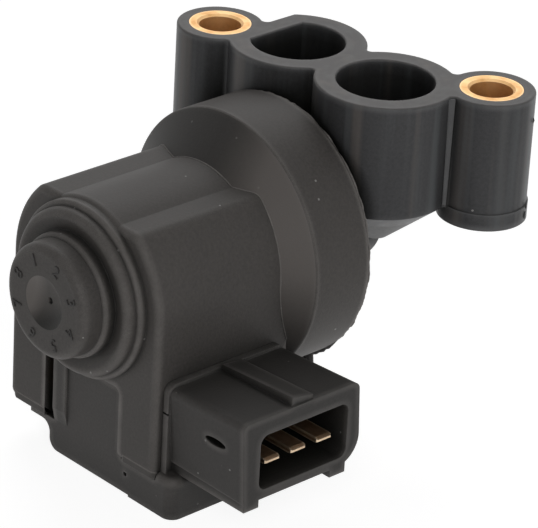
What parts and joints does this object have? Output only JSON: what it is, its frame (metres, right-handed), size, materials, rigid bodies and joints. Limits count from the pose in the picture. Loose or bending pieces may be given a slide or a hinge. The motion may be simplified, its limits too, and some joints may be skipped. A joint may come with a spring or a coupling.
{
  "type": "idle air control valve",
  "caption": "Idle air control valve in black plastic: round motor housing with a side connector, drum, port tubes and bolt bosses with brass bushes. A rotary slide inside meters air.",
  "frame": {"origin": "midway between the two bolts, on the flat port face", "axes": "+Z is the outward normal of the port face, +X the way the connector faces, +Y along the motor axis from the knob to the valve"},
  "size_m": [0.0596, 0.0732, 0.053],
  "materials": {
    "housing_plastic": "moulded, fine grain",
    "connector_plastic": "moulded, fine grain",
    "valve_plastic": "moulded, slightly glossy",
    "bush_brass": "turned",
    "blade_bronze": "stamped, tarnished",
    "core_steel": "laminated",
    "bobbin_plastic": "moulded",
    "winding_copper": "enamelled wire",
    "sintered_bronze": "sintered",
    "cage_plastic": "moulded",
    "seal_rubber": "smooth",
    "hub_aluminium": "turned",
    "magnet_ferrite": "ground",
    "slide_aluminium": "die-cast",
    "bearing_steel": "ground"
  },
  "bodies": {
    "housing": {"bearing_ball_1": "bearing_steel", "bearing_ball_2": "bearing_steel", "bearing_ball_3": "bearing_steel", "bearing_ball_4": "bearing_steel", "bearing_ball_5": "bearing_steel", "bearing_ball_6": "bearing_steel", "bearing_ball_7": "bearing_steel", "bearing_cage": "cage_plastic", "bearing_outer_ring": "bearing_steel", "bush_left": "bush_brass", "bush_right": "bush_brass", "closing_winding": "winding_copper", "coil_bobbin": "bobbin_plastic", "connector_body": "connector_plastic", "front_bearing_bush": "sintered_bronze", "housing_seal": "seal_rubber", "motor_housing": "housing_plastic", "opening_winding": "winding_copper", "retaining_ring": "bearing_steel", "shaft_seal": "seal_rubber", "stator_core": "core_steel", "terminal_front": "blade_bronze", "terminal_middle": "blade_bronze", "terminal_rear": "blade_bronze", "thrust_washer": "bearing_steel", "valve_housing": "valve_plastic"},
    "rotor": {"rotor_shaft": "bearing_steel", "magnet_hub": "hub_aluminium", "rotor_magnet": "magnet_ferrite", "bearing_inner_ring": "bearing_steel", "rotary_slide": "slide_aluminium", "slide_clip": "bearing_steel"}
  },
  "joints": [
    {"name": "slide_turn", "type": "hinge", "parent": "housing", "child": "rotor", "pos_m": [0, -0.03, -0.02334], "axis": [0, 1, 0], "range_deg": [-28, 28], "stiffness_Nm_per_rad": 0.005}
  ]
}
